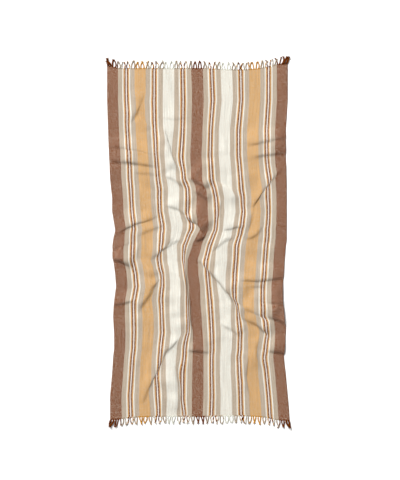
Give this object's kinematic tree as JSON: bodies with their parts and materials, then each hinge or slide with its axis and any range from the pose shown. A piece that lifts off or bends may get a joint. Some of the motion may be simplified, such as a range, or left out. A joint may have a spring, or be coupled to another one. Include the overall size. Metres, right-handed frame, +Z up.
{
  "type": "hammam towel",
  "caption": "Flat-woven striped hammam towel laid out on a floor in soft uneven folds, with a twisted fringe along each short end.",
  "frame": {"origin": "middle of the towel's footprint, on the floor that it lies on", "axes": "+X across the towel, +Y along it towards its head end, +Z up from the floor"},
  "size_m": [0.9084, 1.8486, 0.0221],
  "materials": {
    "woven_cotton": "matt flat weave, striped along its length in brown, ochre, taupe and cream",
    "fringe_yarn": "matt twisted cotton yarn in the warp's own colours"
  },
  "bodies": {
    "root": {"towel_cloth": "woven_cotton", "fringe_head": "fringe_yarn", "fringe_foot": "fringe_yarn"}
  },
  "joints": []
}
